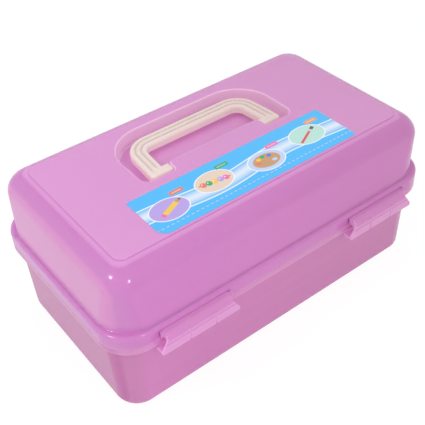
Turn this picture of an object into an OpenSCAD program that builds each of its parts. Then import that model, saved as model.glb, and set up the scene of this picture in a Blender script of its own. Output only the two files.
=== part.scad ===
// Art supply box: a drafted tub, a domed lid on two back hinges with a recessed
// carrying handle and two front latches, and two trays that rise with the lid.
// Millimetres. Origin under the middle of the box, +X along it, front at -Y, +Z up.

/* [Body] */
// Length over the rim
rim_len = 330; // [320:1:345]
// Width over the rim, without hinges and latches
rim_wid = 186; // [182:1:190]
// Height of the tub up to its rim
tub_h = 79.7; // [76:0.1:84]
// Height from the ground to the flat panel on top of the lid
top_h = 146; // [144:0.5:152]
// Wall thickness of the tub and the lid
wall = 2; // [1.6:0.1:2.4]
// Plan radius of the rim corners
rim_r = 29; // [26:0.5:32]
// Height of the turned-down lip of the tub rim
rim_lip_h = 5.5; // [4:0.1:7]

/* [Tub] */
// Distance from the rim in to the foot of each end wall
base_inset_x = 7.5; // [6.5:0.1:12]
// Distance from the rim in to the foot of the front and back walls
base_inset_y = 8.5; // [7:0.1:12]
// Radius of the edge round the bottom
tub_edge_r = 8.5; // [5:0.5:12]
// Plan radius of the tub corners near the bottom
tub_r = 20.5; // [18:0.5:24]
// How far each wall leans out from bottom to rim
tub_draft = 2.6; // [0.5:0.1:3.2]
// Height of the bead inside the rim that centres the lid
bead_h = 2.2; // [1:0.1:3]

/* [Lid] */
// Height of the straight skirt, with its rounded upper edge
skirt_h = 12.3; // [10:0.1:14]
// Radius of the upper edge of the skirt
skirt_edge_r = 3.4; // [2:0.1:3.6]
// Width of the ledge between the skirt and the wall above it
ledge_w = 3.6; // [3.4:0.1:5]
// Angle by which the wall above the ledge leans in
lid_lean = 5; // [2:0.5:7]
// Radius of the shoulder
shoulder_r = 18.3; // [15:0.1:19]
// Step up from the shoulder to the flat panel
panel_step = 0.8; // [0.4:0.1:1.2]
// Distance from the rim to the edge of the flat panel
panel_inset = 24.6; // [24.4:0.1:28]
// Depth of the pocket that holds the handle
pocket_depth = 13.5; // [12.5:0.5:15]

/* [Handle] */
// Width of the handle bar
bar_w = 14.5; // [12:0.5:16]
// Thickness of the handle bar
bar_t = 9; // [7:0.5:9]
// Bend radius at the middle of the bar
bend_r = 15.5; // [13:0.5:17]
// Angle by which each arm of the handle leans outwards
arm_flare = 5; // [1:1:6]

/* [Latches] */
// Distance from the middle of the box to the inner end of a latch
latch_x0 = 60; // [56:0.5:64]
// Length of a latch
latch_len = 72.3; // [60:0.1:72.5]
// How far latches and hinges stand out from the rim
reach = 8.8; // [8.6:0.1:9.2]

/* [Trays] */
// Height of each tray
tray_h = 18.8; // [16:0.2:19]
// Depth of the lower tray, front to back
lower_depth = 160; // [150:1:161]
// Depth of the upper tray, front to back
upper_depth = 133; // [120:1:133]
// Wall thickness of the trays
tray_wall = 1.7; // [1.4:0.1:2]

/* [Hidden] */
$fn = 64;
CORNER_STEPS = 9;
PLASTIC = [0.87, 0.62, 0.85, 0.75];
TUB_PLASTIC = [0.80, 0.56, 0.70, 0.75];
CREAM = [0.91, 0.85, 0.80];

hx = rim_len / 2;
hy = rim_wid / 2;
parting_gap = 0.2;
lid_z0 = tub_h + parting_gap;
ledge_z = lid_z0 + skirt_h;

// Tub: half sizes just above its rounded bottom edge, and the recess that leaves a ring to stand on
base_x = hx - base_inset_x;
base_y = hy - base_inset_y;
foot_ring = 18.5;
recess_depth = 0.8;
recess_r = 12;
rim_t = 2;
lip_t = 1.8;
bead_t = 1.4;

// Shoulder: an arc from the leaning wall to a band that rises gently to the panel. The height of
// its centre follows from the band, which has to end at the foot of the panel's step.
band_slope = 6.5;
panel_r = 7.4;
panel_round = 0.5;
lid_wall_r = 30.5;
lid_top_r = 19;
band_in = panel_inset - panel_round;
band_z = top_h - panel_step;
arc_z = (band_z - shoulder_r * cos(band_slope) + tan(band_slope)
         * (ledge_w + shoulder_r * (cos(lid_lean) - sin(band_slope))
            + (shoulder_r * sin(lid_lean) - ledge_z) * tan(lid_lean) - band_in))
      / (1 - tan(band_slope) * tan(lid_lean));
wall_top_z = arc_z + shoulder_r * sin(lid_lean);
wall_inset = ledge_w + (wall_top_z - ledge_z) * tan(lid_lean);
arc_in = wall_inset + shoulder_r * cos(lid_lean);
shoulder_steps = 6;

// Handle pocket in the flat panel, with a block between the feet of the handle
pocket_half = 76.5;
pocket_back = 60;
pocket_front = -8;
pocket_r = 35;
pocket_front_r = 8;
pocket_floor = top_h - pocket_depth;
boss_half = 47;
boss_back = 4.5;
boss_r = 5;

// Handle
handle_z = top_h - 6;
handle_axis_y = 0.8;
grip_y = 42;
foot_x = 59.7;
foot_w = 9;
foot_outer_r = 3.5;
foot_inner_r = 1;
groove_fade = 6;
socket_gap = 0.4;
socket_r = 3.4;
stub_r = 2;
stub_len = 6;
fit = 0.08;

// Middle line of the arm: all points whose distance from the origin along its normal is arm_line.
arm_line = foot_x * cos(arm_flare) + handle_axis_y * sin(arm_flare);
function on_line(distance, y) = (distance - y * sin(arm_flare)) / cos(arm_flare);
foot_front = handle_axis_y - foot_w / 2;
foot_rear = handle_axis_y + foot_w / 2;
outer_c = [on_line(arm_line + bar_w / 2 - foot_outer_r, foot_front + foot_outer_r), foot_front + foot_outer_r];
inner_c = [on_line(arm_line - bar_w / 2 - foot_inner_r, foot_rear + foot_inner_r), foot_rear + foot_inner_r];
bend_c = [on_line(arm_line - bend_r, grip_y - bend_r), grip_y - bend_r];

// Back hinges
knuckle_r = 4.2;
axis_y = hy + reach - knuckle_r;
axis_z = tub_h;
hinge_x = 95;
lid_knuckle = 24;
tub_knuckle = 14;
knuckle_gap = 0.4;
hinge_pin_r = 1.5;
pin_head_r = 2.6;
pin_head_t = 1.2;

// Latches
latch_x1 = latch_x0 + latch_len;
latch_pivot = [-(hy + 1.6), ledge_z - 6.6];
latch_bar_r = 2.6;
latch_stub_r = 1.3;
latch_out_r = 7.8;
latch_arc = [latch_out_r - hy - reach + 0.4, tub_h + 0.2];
latch_wall = 2;
latch_low_z = tub_h - 8.7;
lip_top_z = tub_h - 0.5;
// each end leans inwards between two heights, by latch_taper
latch_taper = 6;
taper_z = [tub_h - 5.7, tub_h + 3.3];
bar_x0 = latch_x0 + latch_taper;
bar_x1 = latch_x1 - latch_taper;
slit_x = [latch_x0 + 0.314 * latch_len, latch_x0 + 0.65 * latch_len];
slit_w = 1.8;
slit_dome_r = 1.8;
slit_dome_angle = 12;
slit_dome_in = 0.9;
cheek_w = 2.3;
cheek_gap = 0.3;

// Tray linkage: lid and arms turn together, so the trays stay level.
link_lower = [-33, 8];
link_upper = 2 * link_lower;
arm_pivot = [10, tub_h - 3.7];
lower_rear = [axis_y, axis_z] + link_lower;
upper_rear = [axis_y, axis_z] + link_upper;
lower_front = arm_pivot + link_lower;
upper_front = arm_pivot + link_upper;
peg_r = 2;
peg_hole_r = 2.35;
lug_r = 4.2;
arm_x0 = hx - 12.7;
arm_t = 3;
arm_w = 8.8;
arm_end_r = 5.2;
arm_gap = 0.4;
cap_r = 3.8;
cap_t = 1.3;
cap_gap = 0.3;

// Trays
tray_front = -(hy - 13);
lower_z = tub_h + 1.5;
upper_z = lower_z + tray_h + 2.5;
lower_half = hx - 16.4;
upper_half = hx - 14.1;
tray_r = 14;
tray_floor = 1.6;
mid_wall_drop = 1.5;
lower_mid = 0;
upper_mid = -36;
lower_div_x = [-74, 0, 74];
upper_div_x = [-50, 50];
divider_t = 1.5;
divider_slot = 0.35;
divider_drop = 2;
rib_t = 1.2;

// Label
label_x = [-101.5, 93];
label_y = [-66.5, -18.5];
label_t = 0.25;
label_r = 1.5;
label_front_left_r = 9;

// ---- Shared shapes ----

// Rectangle with round corners, given by its half sizes
module plate2d(half_x, half_y, r) {
    square([2 * half_x, 2 * (half_y - r)], center = true);
    square([2 * (half_x - r), 2 * half_y], center = true);
    for (sx = [-1, 1], sy = [-1, 1])
        translate([sx * (half_x - r), sy * (half_y - r)]) circle(r);
}

module plate(half_x, half_y, r, z0, z1) {
    translate([0, 0, z0]) linear_extrude(z1 - z0) plate2d(half_x, half_y, r);
}

// Level ring of points round a round-cornered rectangle
function ring(half_x, half_y, r, z) = [for (k = [0 : 3], i = [0 : CORNER_STEPS])
    let (sx = [1, -1, -1, 1][k], sy = [1, 1, -1, -1][k], t = 90 * (k + i / CORNER_STEPS))
    [sx * (half_x - r) + r * cos(t), sy * (half_y - r) + r * sin(t), z]];

// Closed solid whose skin runs from ring to ring, with a flat cap on the first and the last
module skin(rings) {
    n = len(rings[0]);
    last = (len(rings) - 1) * n;
    polyhedron([for (r = rings) each r], concat(
        [[for (i = [0 : n - 1]) i]],
        [for (k = [0 : len(rings) - 2], i = [0 : n - 1])
            let (a = k * n + i, b = k * n + (i + 1) % n) each [[a, a + n, b], [b, a + n, b + n]]],
        [[for (i = [n - 1 : -1 : 0]) last + i]]));
}

// Cylinder along X from x0 to x1 at p = [y, z]
module rod(p, r, x0, x1) {
    translate([x0, p[0], p[1]]) rotate([0, 90, 0]) cylinder(r = r, h = x1 - x0);
}

// The same on both ends of the box
module both_ends() {
    children();
    mirror([1, 0, 0]) children();
}

// ---- Tub ----

// Ring of the tub wall at height z, g inside its outer face
function tub_half(z) = let (lean = tub_draft * (z - tub_edge_r) / (tub_h - tub_edge_r))
    [base_x + lean, base_y + lean, tub_r + 1.8 * lean];
function tub_ring(z, g) = let (h = tub_half(z)) ring(h[0] - g, h[1] - g, h[2] - g, z);

// Rings of the rounded bottom edge, from the ground up
function tub_bottom(g) = [for (a = [0 : 22.5 : 90])
    let (in = g + (tub_edge_r - g) * (1 - sin(a)))
    ring(base_x - in, base_y - in, tub_r - in, g + (tub_edge_r - g) * (1 - cos(a)))];

function rim_ring(g, z) = ring(hx - g, hy - g, rim_r - g, z);

// Knuckle with the leaf that carries it: above the axis on the lid, below it on the tub
module hinge_ear(x0, x1, on_lid) {
    leaf_z0 = on_lid ? axis_z + 0.4 : axis_z - knuckle_r;
    leaf_z1 = on_lid ? axis_z + knuckle_r : axis_z - parting_gap;
    rod([axis_y, axis_z], knuckle_r, x0, x1);
    translate([x0, hy - 1.5, leaf_z0]) cube([x1 - x0, axis_y - hy + 1.5, leaf_z1 - leaf_z0]);
}

module tub() {
    near = lid_knuckle / 2 + knuckle_gap;
    inside = tub_bottom(wall);
    lug_x0 = arm_x0 + arm_t + arm_gap;
    color(TUB_PLASTIC) difference() {
        union() {
            // outer skin up to the rim, round its turned-down lip, over the bead and down the inner wall
            skin(concat(
                tub_bottom(0),
                [tub_ring(tub_h - rim_t, 0),
                 rim_ring(lip_t, tub_h - rim_t), rim_ring(lip_t, tub_h - rim_lip_h),
                 rim_ring(0, tub_h - rim_lip_h), rim_ring(0, tub_h),
                 tub_ring(tub_h, wall - bead_t), tub_ring(tub_h + bead_h, wall - bead_t + 0.3),
                 tub_ring(tub_h + bead_h, wall + 0.1)],
                [for (i = [len(inside) - 1 : -1 : 0]) inside[i]]));
            for (s = [-1, 1]) {
                hinge_ear(s * hinge_x + near, s * hinge_x + near + tub_knuckle, false);
                hinge_ear(s * hinge_x - near - tub_knuckle, s * hinge_x - near, false);
            }
        }
        // the box stands on the ring round this recess
        plate(hx - foot_ring - base_inset_x - 1, hy - foot_ring - base_inset_y, recess_r, -1, recess_depth);
        rod([axis_y, axis_z], hinge_pin_r + fit, -hx, hx);
    }
    // pegs that carry the tray arms
    color(TUB_PLASTIC) both_ends() {
        rod(arm_pivot, lug_r, lug_x0, tub_half(arm_pivot[1])[0] - wall + 0.6);
        rod(arm_pivot, peg_r, arm_x0 - cap_t - cap_gap, lug_x0 + 0.6);
    }
}

// ---- Lid ----

// Rings of the lid from the bottom of the skirt up to the flat panel, g inside the outer face
function lid_rings(g) = concat(
    [rim_ring(g, lid_z0)],
    [for (a = [0 : 30 : 90])
        let (e = skirt_edge_r - min(g, 1.4), in = g + e * (1 - cos(a)))
        rim_ring(in, ledge_z - g - e * (1 - sin(a)))],
    [ring(hx - ledge_w - g - 0.3, hy - ledge_w - g - 0.3, lid_wall_r - g, ledge_z - g + 0.3)],
    [for (i = [0 : shoulder_steps])
        let (a = lid_lean + (90 - band_slope - lid_lean) * i / shoulder_steps,
             r = shoulder_r - g,
             in = arc_in - r * cos(a),
             share = (in - wall_inset - g) / (panel_inset - wall_inset - g))
        ring(hx - in, hy - in, (lid_top_r - g) * (1 - share) + panel_r * share, arc_z + r * sin(a))],
    g > 0 ? [] :
    [ring(hx - band_in, hy - band_in, panel_r + panel_round, band_z),
     ring(hx - panel_inset, hy - panel_inset, panel_r, top_h - 0.1),
     ring(hx - panel_inset - 0.2, hy - panel_inset - 0.2, panel_r - 0.2, top_h)]);

// Outline of the handle pocket, grown by g
module pocket2d(g) {
    square_from(-pocket_half - g, pocket_half + g, pocket_front + pocket_front_r, pocket_back - pocket_r);
    inner = pocket_half - pocket_front_r;
    square_from(-inner, inner, pocket_front - g, pocket_back - pocket_r);
    mid = pocket_half - pocket_r;
    square_from(-mid, mid, 0, pocket_back + g);
    for (s = [-1, 1]) {
        translate([s * inner, pocket_front + pocket_front_r]) circle(pocket_front_r + g);
        translate([s * mid, pocket_back - pocket_r]) circle(pocket_r + g);
    }
}

module square_from(x0, x1, y0, y1) {
    translate([x0, y0]) square([x1 - x0, y1 - y0]);
}

// Outline of the block between the feet of the handle, grown by g
module boss2d(g) {
    square_from(-boss_half - g, boss_half + g, pocket_front - 6, boss_back - boss_r);
    square_from(-boss_half + boss_r, boss_half - boss_r, pocket_front - 6, boss_back + g);
    for (s = [-1, 1])
        translate([s * (boss_half - boss_r), boss_back - boss_r]) circle(boss_r + g);
}

module latch_cheek(x0) {
    cheek_r = latch_bar_r + 0.6;
    rod(latch_pivot, cheek_r, x0, x0 + cheek_w);
    translate([x0, latch_pivot[0], latch_pivot[1] - cheek_r]) cube([cheek_w, 2.6, 2 * cheek_r]);
}

module lid() {
    inside = lid_rings(wall);
    color(PLASTIC) difference() {
        union() {
            // inner skin down to the rim, then the outer skin up to the panel
            skin(concat([for (i = [len(inside) - 1 : -1 : 0]) inside[i]], lid_rings(0)));
            // pocket walls and floor
            difference() {
                translate([0, 0, pocket_floor - wall])
                    linear_extrude(top_h - pocket_floor + wall - 0.5) pocket2d(wall);
                translate([0, 0, pocket_floor - wall - 1])
                    linear_extrude(top_h - pocket_floor) boss2d(-wall);
            }
            both_ends() {
                rod([handle_axis_y, handle_z], socket_r, boss_half - stub_len - 1, boss_half - 1);
                hinge_ear(hinge_x - lid_knuckle / 2, hinge_x + lid_knuckle / 2, true);
                latch_cheek(bar_x0 - cheek_gap - cheek_w);
                latch_cheek(bar_x1 + cheek_gap);
                rod(lower_rear, lug_r, arm_x0, hx - wall + 0.5);
                rod(upper_rear, lug_r, arm_x0, hx - wall_inset - wall + 3.6);
            }
        }
        translate([0, 0, pocket_floor]) linear_extrude(top_h) difference() {
            pocket2d(0);
            boss2d(0);
        }
        both_ends() {
            rod([handle_axis_y, handle_z], stub_r + fit, boss_half - stub_len - 0.3, boss_half + 1);
            rod([axis_y, axis_z], hinge_pin_r + fit, hinge_x - lid_knuckle, hinge_x + lid_knuckle);
            rod(latch_pivot, latch_bar_r + 0.35, bar_x0 - cheek_gap, bar_x1 + cheek_gap);
            rod(latch_pivot, latch_stub_r + fit, bar_x0 - cheek_w - 1, bar_x1 + cheek_w + 1);
            for (p = [lower_rear, upper_rear])
                rod(p, peg_r + fit, arm_x0 - 1, arm_x0 + 5.4);
        }
    }
}

// ---- Handle ----

// Both edges of the bar in plan, as pairs [outer point, inner point]: foot, corner, arm, bend, grip
function along(a) = [cos(a), sin(a)];
function edge_pairs() = let (
        foot = [for (y = [foot_front, foot_rear]) [boss_half + socket_gap, y]],
        corner = [for (i = [0 : 4]) let (a = -90 + (90 + arm_flare) * i / 4)
            [outer_c + foot_outer_r * along(a), inner_c + foot_inner_r * along(a)]],
        bend = [for (i = [0 : 10]) let (a = arm_flare + (90 - arm_flare) * i / 10)
            [bend_c + (bend_r + bar_w / 2) * along(a), bend_c + (bend_r - bar_w / 2) * along(a)]],
        arm = [for (i = [1 : 2]) corner[4] + (bend[0] - corner[4]) * i / 4],
        half = concat([foot], corner, arm, bend))
    concat(half, [for (i = [len(half) - 1 : -1 : 0]) [for (p = half[i]) [-p[0], p[1]]]]);

// Section of the bar across its width: rounded, with two grooves along the top, deep times full depth
function bar_section(deep) = let (rc = bar_w / 5, gr = 1, gh = 0.35, ga = asin(gh / gr)) concat(
    [for (q = [[1, -1, -90], [1, 1, 0]], a = [0 : 22.5 : 90])
        [q[0] * (bar_w / 2 - rc) + rc * cos(q[2] + a), q[1] * (bar_t / 2 - rc) + rc * sin(q[2] + a)]],
    [for (s = [1, -1], i = [0 : 4]) let (a = -ga - (180 - 2 * ga) * i / 4)
        [s * bar_w / 6 + gr * cos(a), bar_t / 2 + deep * (gh + gr * sin(a))]],
    [for (q = [[-1, 1, 90], [-1, -1, 180]], a = [0 : 22.5 : 90])
        [q[0] * (bar_w / 2 - rc) + rc * cos(q[2] + a), q[1] * (bar_t / 2 - rc) + rc * sin(q[2] + a)]]);

module handle() {
    color(CREAM) translate([0, 0, handle_z]) {
        skin([for (pair = edge_pairs())
            let (middle_y = (pair[0][1] + pair[1][1]) / 2,
                 deep = min(1, max(0, (middle_y - handle_axis_y - 1) / groove_fade)))
            [for (q = bar_section(deep))
                let (p = pair[0] + (pair[1] - pair[0]) * (q[0] / bar_w + 0.5)) [p[0], p[1], q[1]]]]);
        both_ends() rod([handle_axis_y, 0], stub_r, boss_half - stub_len + 0.3, boss_half + 2);
    }
}

// ---- Label ----

module label() {
    front_left = [label_x[0] + label_front_left_r, label_y[0] + label_front_left_r];
    color("deepskyblue") translate([0, 0, top_h]) linear_extrude(label_t) {
        square_from(front_left[0], label_x[1] - label_r, label_y[0], label_y[1]);
        square_from(label_x[0], label_x[1], front_left[1], label_y[1] - label_r);
        square_from(label_x[0] + label_r, label_x[1] - label_r, front_left[1], label_y[1]);
        square_from(front_left[0], label_x[1], label_y[0] + label_r, label_y[1] - label_r);
        translate(front_left) circle(label_front_left_r);
        translate([label_x[0] + label_r, label_y[1] - label_r]) circle(label_r);
        for (y = [label_y[0] + label_r, label_y[1] - label_r])
            translate([label_x[1] - label_r, y]) circle(label_r);
    }
}

// ---- Latches ----

// Section of a latch: a round bar, a quarter-round shell and a straight finger lip
module latch2d() {
    difference() {
        union() {
            translate(latch_arc) circle(latch_out_r);
            // the finger lip stands out a little
            translate([-hy - reach, latch_low_z]) square([latch_wall + 0.4, lip_top_z - latch_low_z]);
            translate([latch_arc[0] - latch_out_r, latch_low_z])
                square([latch_wall, latch_arc[1] - latch_low_z]);
        }
        difference() {
            translate(latch_arc) circle(latch_out_r - latch_wall);
            translate([latch_arc[0] - 50, latch_low_z - 20]) square([50 - latch_out_r + latch_wall, 60]);
        }
        translate([latch_arc[0] - latch_out_r + latch_wall, latch_low_z - 10])
            square([40, latch_arc[1] - latch_low_z + 10]);
        translate([latch_pivot[0], latch_low_z]) square(40);
    }
    translate(latch_pivot) circle(latch_bar_r);
    // ledge that reaches in to the rim
    translate([latch_arc[0] - latch_out_r + 0.5, latch_low_z + 0.6])
        square([-hy - 0.35 - (latch_arc[0] - latch_out_r + 0.5), 1.8]);
}

// Front view of a latch, narrower towards its pivot
module latch_outline() {
    top = latch_pivot[1] + latch_bar_r + 1;
    polygon([[latch_x0, latch_low_z - 1], [latch_x1, latch_low_z - 1],
             [latch_x1, taper_z[0]], [bar_x1, taper_z[1]], [bar_x1, top],
             [bar_x0, top], [bar_x0, taper_z[1]], [latch_x0, taper_z[0]]]);
}

module latch(side) {
    color(PLASTIC) mirror([side > 0 ? 0 : 1, 0, 0]) {
        difference() {
            intersection() {
                translate([latch_x0, 0, 0]) rotate([90, 0, 90]) linear_extrude(latch_len) latch2d();
                rotate([90, 0, 0]) linear_extrude(hy + reach + 1) latch_outline();
            }
            for (x = slit_x)
                translate([x - slit_w / 2, -hy - reach - 1, latch_low_z - 1])
                    cube([slit_w, reach + 2, lip_top_z + 1.8 - latch_low_z]);
        }
        rod(latch_pivot, latch_stub_r, bar_x0 - cheek_w, bar_x1 + cheek_w);
        // round relief over each slit
        for (x = slit_x)
            translate([x, latch_arc[0], latch_arc[1]]) rotate([-slit_dome_angle, 0, 0])
                translate([0, slit_dome_in - latch_out_r, 0]) sphere(slit_dome_r, $fn = 32);
    }
}

// ---- Hinge pins ----

module hinge_pin(side) {
    half = lid_knuckle / 2 + knuckle_gap + tub_knuckle;
    color("silver") {
        rod([axis_y, axis_z], hinge_pin_r, side * hinge_x - half - 0.3, side * hinge_x + half + 0.6);
        rod([axis_y, axis_z], pin_head_r, side * hinge_x - half - 0.3 - pin_head_t, side * hinge_x - half - 0.3);
    }
}

// ---- Trays ----

module tray_shell(half_x, depth, z) {
    translate([0, tray_front + depth / 2, 0]) difference() {
        plate(half_x, depth / 2, tray_r, z, z + tray_h);
        plate(half_x - tray_wall, depth / 2 - tray_wall, tray_r - tray_wall, z + tray_floor, z + tray_h + 1);
    }
}

// Wall inside a tray, from corner [x0, y0] to [x1, y1]
module tray_wall_between(x0, y0, x1, y1, z) {
    translate([x0, y0, z + tray_floor - 0.5]) cube([x1 - x0, y1 - y0, tray_h - tray_floor - mid_wall_drop]);
}

// Two pairs of ribs that hold a removable divider at x
module divider_ribs(x, y0, y1, z) {
    for (s = [-1, 1], y = [y0, y1 - 2])
        translate([x + s * (divider_t / 2 + divider_slot + rib_t / 2) - rib_t / 2, y, z + tray_floor - 0.3])
            cube([rib_t, 2, tray_h - tray_floor - divider_drop]);
}

module divider(x, y0, y1, z) {
    slack = 0.4;
    color("whitesmoke") translate([x - divider_t / 2, y0 + slack, z + tray_floor])
        difference() {
            cube([divider_t, y1 - y0 - 2 * slack, tray_h - tray_floor - divider_drop]);
            // finger notch in the top edge
            translate([-1, (y1 - y0) / 2 - slack, tray_h - tray_floor + 3]) rotate([0, 90, 0])
                cylinder(r = 9, h = divider_t + 2);
        }
}

module lower_tray() {
    color(PLASTIC) {
        tray_shell(lower_half, lower_depth, lower_z);
        tray_wall_between(-lower_half + 1, lower_mid, lower_half - 1, lower_mid + tray_wall, lower_z);
        tray_wall_between(-tray_wall / 2, lower_mid + 1, tray_wall / 2, tray_front + lower_depth - 1, lower_z);
        for (x = lower_div_x) divider_ribs(x, tray_front + tray_wall - 0.3, lower_mid + 0.3, lower_z);
        both_ends() {
            // the front lug ends level with the floor of the tray
            rod(lower_front, lower_front[1] - lower_z, lower_half - 1, arm_x0 - arm_gap);
            rod(lower_rear, lug_r, lower_half - 1, arm_x0 - arm_gap);
            rod(lower_front, peg_r, arm_x0 - 1, arm_x0 + arm_t + cap_gap + cap_t);
            rod(lower_rear, peg_r, arm_x0 - 1, arm_x0 + 5);
        }
    }
}

module upper_tray() {
    back = tray_front + upper_depth;
    ear_t = 2.6;
    ear_x = arm_x0 - arm_gap - ear_t;
    color(PLASTIC) {
        tray_shell(upper_half, upper_depth, upper_z);
        tray_wall_between(-upper_half + 1, upper_mid, upper_half - 1, upper_mid + tray_wall, upper_z);
        for (x = upper_div_x) divider_ribs(x, upper_mid + tray_wall - 0.3, back - tray_wall + 0.3, upper_z);
        both_ends() {
            for (p = [upper_front, upper_rear]) {
                rod(p, lug_r, ear_x, ear_x + ear_t);
                translate([ear_x, p[0] - lug_r, p[1]]) cube([ear_t, 2 * lug_r, upper_z - p[1] + 4]);
            }
            rod(upper_front, peg_r, arm_x0 - 1, arm_x0 + arm_t + cap_gap + cap_t);
            rod(upper_rear, peg_r, arm_x0 - 1, arm_x0 + 5);
        }
    }
}

// ---- Tray arms ----

module arm(side) {
    len = norm(link_upper);
    tilt = atan2(link_upper[1], -link_upper[0]);
    slot = [3.2, 14];
    color("white") mirror([side > 0 ? 0 : 1, 0, 0])
        translate([arm_x0, arm_pivot[0], arm_pivot[1]]) rotate([-tilt, 0, 0]) rotate([0, 90, 0]) difference() {
            union() {
                translate([-arm_w / 2, -len, 0]) cube([arm_w, len, arm_t]);
                for (d = [0, len / 2, len]) translate([0, -d, 0]) cylinder(r = arm_end_r, h = arm_t);
            }
            for (d = [0, len / 2, len]) translate([0, -d, -1])
                cylinder(r = d == 0 ? peg_r + fit : peg_hole_r, h = arm_t + 2);
            // lightening slots between the pivots
            for (d = [len / 4, 3 * len / 4])
                translate([-slot[0] / 2, -d - slot[1] / 2, -1]) cube([slot[0], slot[1], arm_t + 2]);
        }
}

module cap(p, x0) {
    color("white") both_ends() difference() {
        rod(p, cap_r, x0, x0 + cap_t);
        rod(p, peg_r, x0 - 1, x0 + cap_t + 1);
    }
}

tub();
lid();
handle();
label();
latch(-1);  // latch_left
latch(1);  // latch_right
hinge_pin(-1);  // hinge_pin_left
hinge_pin(1);  // hinge_pin_right
lower_tray();
upper_tray();
arm(-1);  // arm_left
arm(1);  // arm_right
cap(arm_pivot, arm_x0 - cap_t - cap_gap);  // tub_peg_caps
cap(lower_front, arm_x0 + arm_t + cap_gap);  // lower_tray_caps
cap(upper_front, arm_x0 + arm_t + cap_gap);  // upper_tray_caps
divider(lower_div_x[0], tray_front + tray_wall, lower_mid, lower_z);  // lower_divider_left
divider(lower_div_x[1], tray_front + tray_wall, lower_mid, lower_z);  // lower_divider_middle
divider(lower_div_x[2], tray_front + tray_wall, lower_mid, lower_z);  // lower_divider_right
divider(upper_div_x[0], upper_mid + tray_wall, tray_front + upper_depth - tray_wall, upper_z);  // upper_divider_left
divider(upper_div_x[1], upper_mid + tray_wall, tray_front + upper_depth - tray_wall, upper_z);  // upper_divider_right
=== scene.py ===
# %% [markdown]
# # A translucent art supply box
# The box is moulded in milky pink plastic: a tub, a domed lid with a cream handle in a pocket, two
# front latches, and two trays inside. The construction, the hinges and the sizes come from the packed
# model. This notebook dresses it: smooth shells with rounded edges take the place of the faceted
# ones, every piece gets a procedural finish, and a pale studio surrounds it.

# %% Start: the fixed frame
import math

import bmesh
import bpy
from mathutils import Matrix, Vector


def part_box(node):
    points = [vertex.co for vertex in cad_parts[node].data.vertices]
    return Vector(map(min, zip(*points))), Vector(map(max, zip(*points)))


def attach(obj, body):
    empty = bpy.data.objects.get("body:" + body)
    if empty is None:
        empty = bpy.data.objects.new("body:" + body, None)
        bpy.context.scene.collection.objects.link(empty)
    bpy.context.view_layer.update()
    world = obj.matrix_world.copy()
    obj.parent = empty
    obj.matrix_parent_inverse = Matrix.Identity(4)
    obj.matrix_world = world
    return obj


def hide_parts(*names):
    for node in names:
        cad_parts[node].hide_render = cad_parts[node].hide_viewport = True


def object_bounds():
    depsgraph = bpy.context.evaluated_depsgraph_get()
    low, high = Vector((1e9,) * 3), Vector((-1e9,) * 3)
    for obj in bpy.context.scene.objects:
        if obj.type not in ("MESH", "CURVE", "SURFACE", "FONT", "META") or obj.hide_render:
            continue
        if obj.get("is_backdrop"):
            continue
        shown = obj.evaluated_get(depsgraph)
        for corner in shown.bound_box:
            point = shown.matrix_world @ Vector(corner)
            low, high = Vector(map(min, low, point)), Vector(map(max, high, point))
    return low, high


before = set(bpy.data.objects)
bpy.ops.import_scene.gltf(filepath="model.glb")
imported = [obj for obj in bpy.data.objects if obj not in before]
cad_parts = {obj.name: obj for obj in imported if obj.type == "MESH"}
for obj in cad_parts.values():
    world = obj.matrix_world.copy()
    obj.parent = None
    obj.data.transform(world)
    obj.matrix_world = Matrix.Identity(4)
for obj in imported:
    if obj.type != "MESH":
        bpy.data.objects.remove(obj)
cad_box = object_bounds()
scene = bpy.context.scene
scene.view_settings.view_transform = "Standard"

# %% [markdown]
# Moulded parts are drawn in millimetres, so every shape below is built in millimetres too and is
# scaled to metres once, when its mesh is finished. The driving sizes repeat those of the model, and
# the length of the rim and the height of the top are read from the frame, so both stay in step.

# %% Driving sizes, in millimetres
MM = 0.001


def box_mm(node):
    """Lowest and highest corner of a node of the frame, in millimetres."""
    low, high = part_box(node)
    return low / MM, high / MM


RIM_HALF_X = box_mm("lid")[1].x
RIM_HALF_Y = 93.0
RIM_R = 29.0
TOP = box_mm("label")[0].z
TUB_H = 79.7
WALL = 2.0
HINGE_REACH, KNUCKLE_R = 8.8, 4.2
AXIS_Y = RIM_HALF_Y + HINGE_REACH - KNUCKLE_R
print("rim half length", round(RIM_HALF_X, 2), "top", round(TOP, 2))

# %% [markdown]
# Shells of this kind are lofts: a stack of level, round-cornered rectangles joined by faces. One
# ring is a circle whose four quarters are pushed apart, and bridge_loops makes the skin between two
# rings. Only the sizes of the rings have to be given, and the corners come out truly round.

# %% Ring, loft and cap
CORNER_CUTS = 14


def loop_edges(verts):
    """The edges that run between the given vertices."""
    inside = set(verts)
    return list({e for v in verts for e in v.link_edges if e.other_vert(v) in inside})


def ring(bm, half_x, half_y, r, z):
    """Level loop of a round-cornered rectangle, as a list of edges."""
    count = 4 * CORNER_CUTS
    place = Matrix.Translation((0, 0, z)) @ Matrix.Rotation(math.pi / count, 4, "Z")
    made = bmesh.ops.create_circle(bm, segments=count, radius=r / math.cos(math.pi / count), matrix=place)
    for v in made["verts"]:
        v.co.x += math.copysign(half_x - r, v.co.x)
        v.co.y += math.copysign(half_y - r, v.co.y)
    return loop_edges(made["verts"])


def loft(bm, sizes):
    """Skin through a list of ring sizes. Returns the edges of the first and the last ring."""
    loops = [ring(bm, *size) for size in sizes]
    for low, high in zip(loops, loops[1:]):
        bmesh.ops.bridge_loops(bm, edges=low + high)
    return loops[0], loops[-1]


def cap(bm, edges):
    """Closes a loop with one face."""
    bmesh.ops.contextual_create(bm, geom=edges)


print("ring of", 4 * CORNER_CUTS, "points")

# %% [markdown]
# Pins, bosses and knuckles are cylinders along the box, and leaves and lips are blocks with a small
# bevel on every edge. A flat outline starts with sharp corners, and a bevel of single vertices
# rounds each of them to its own radius.

# %% Rod, block and outline
ROD_SEGMENTS = 40


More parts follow.
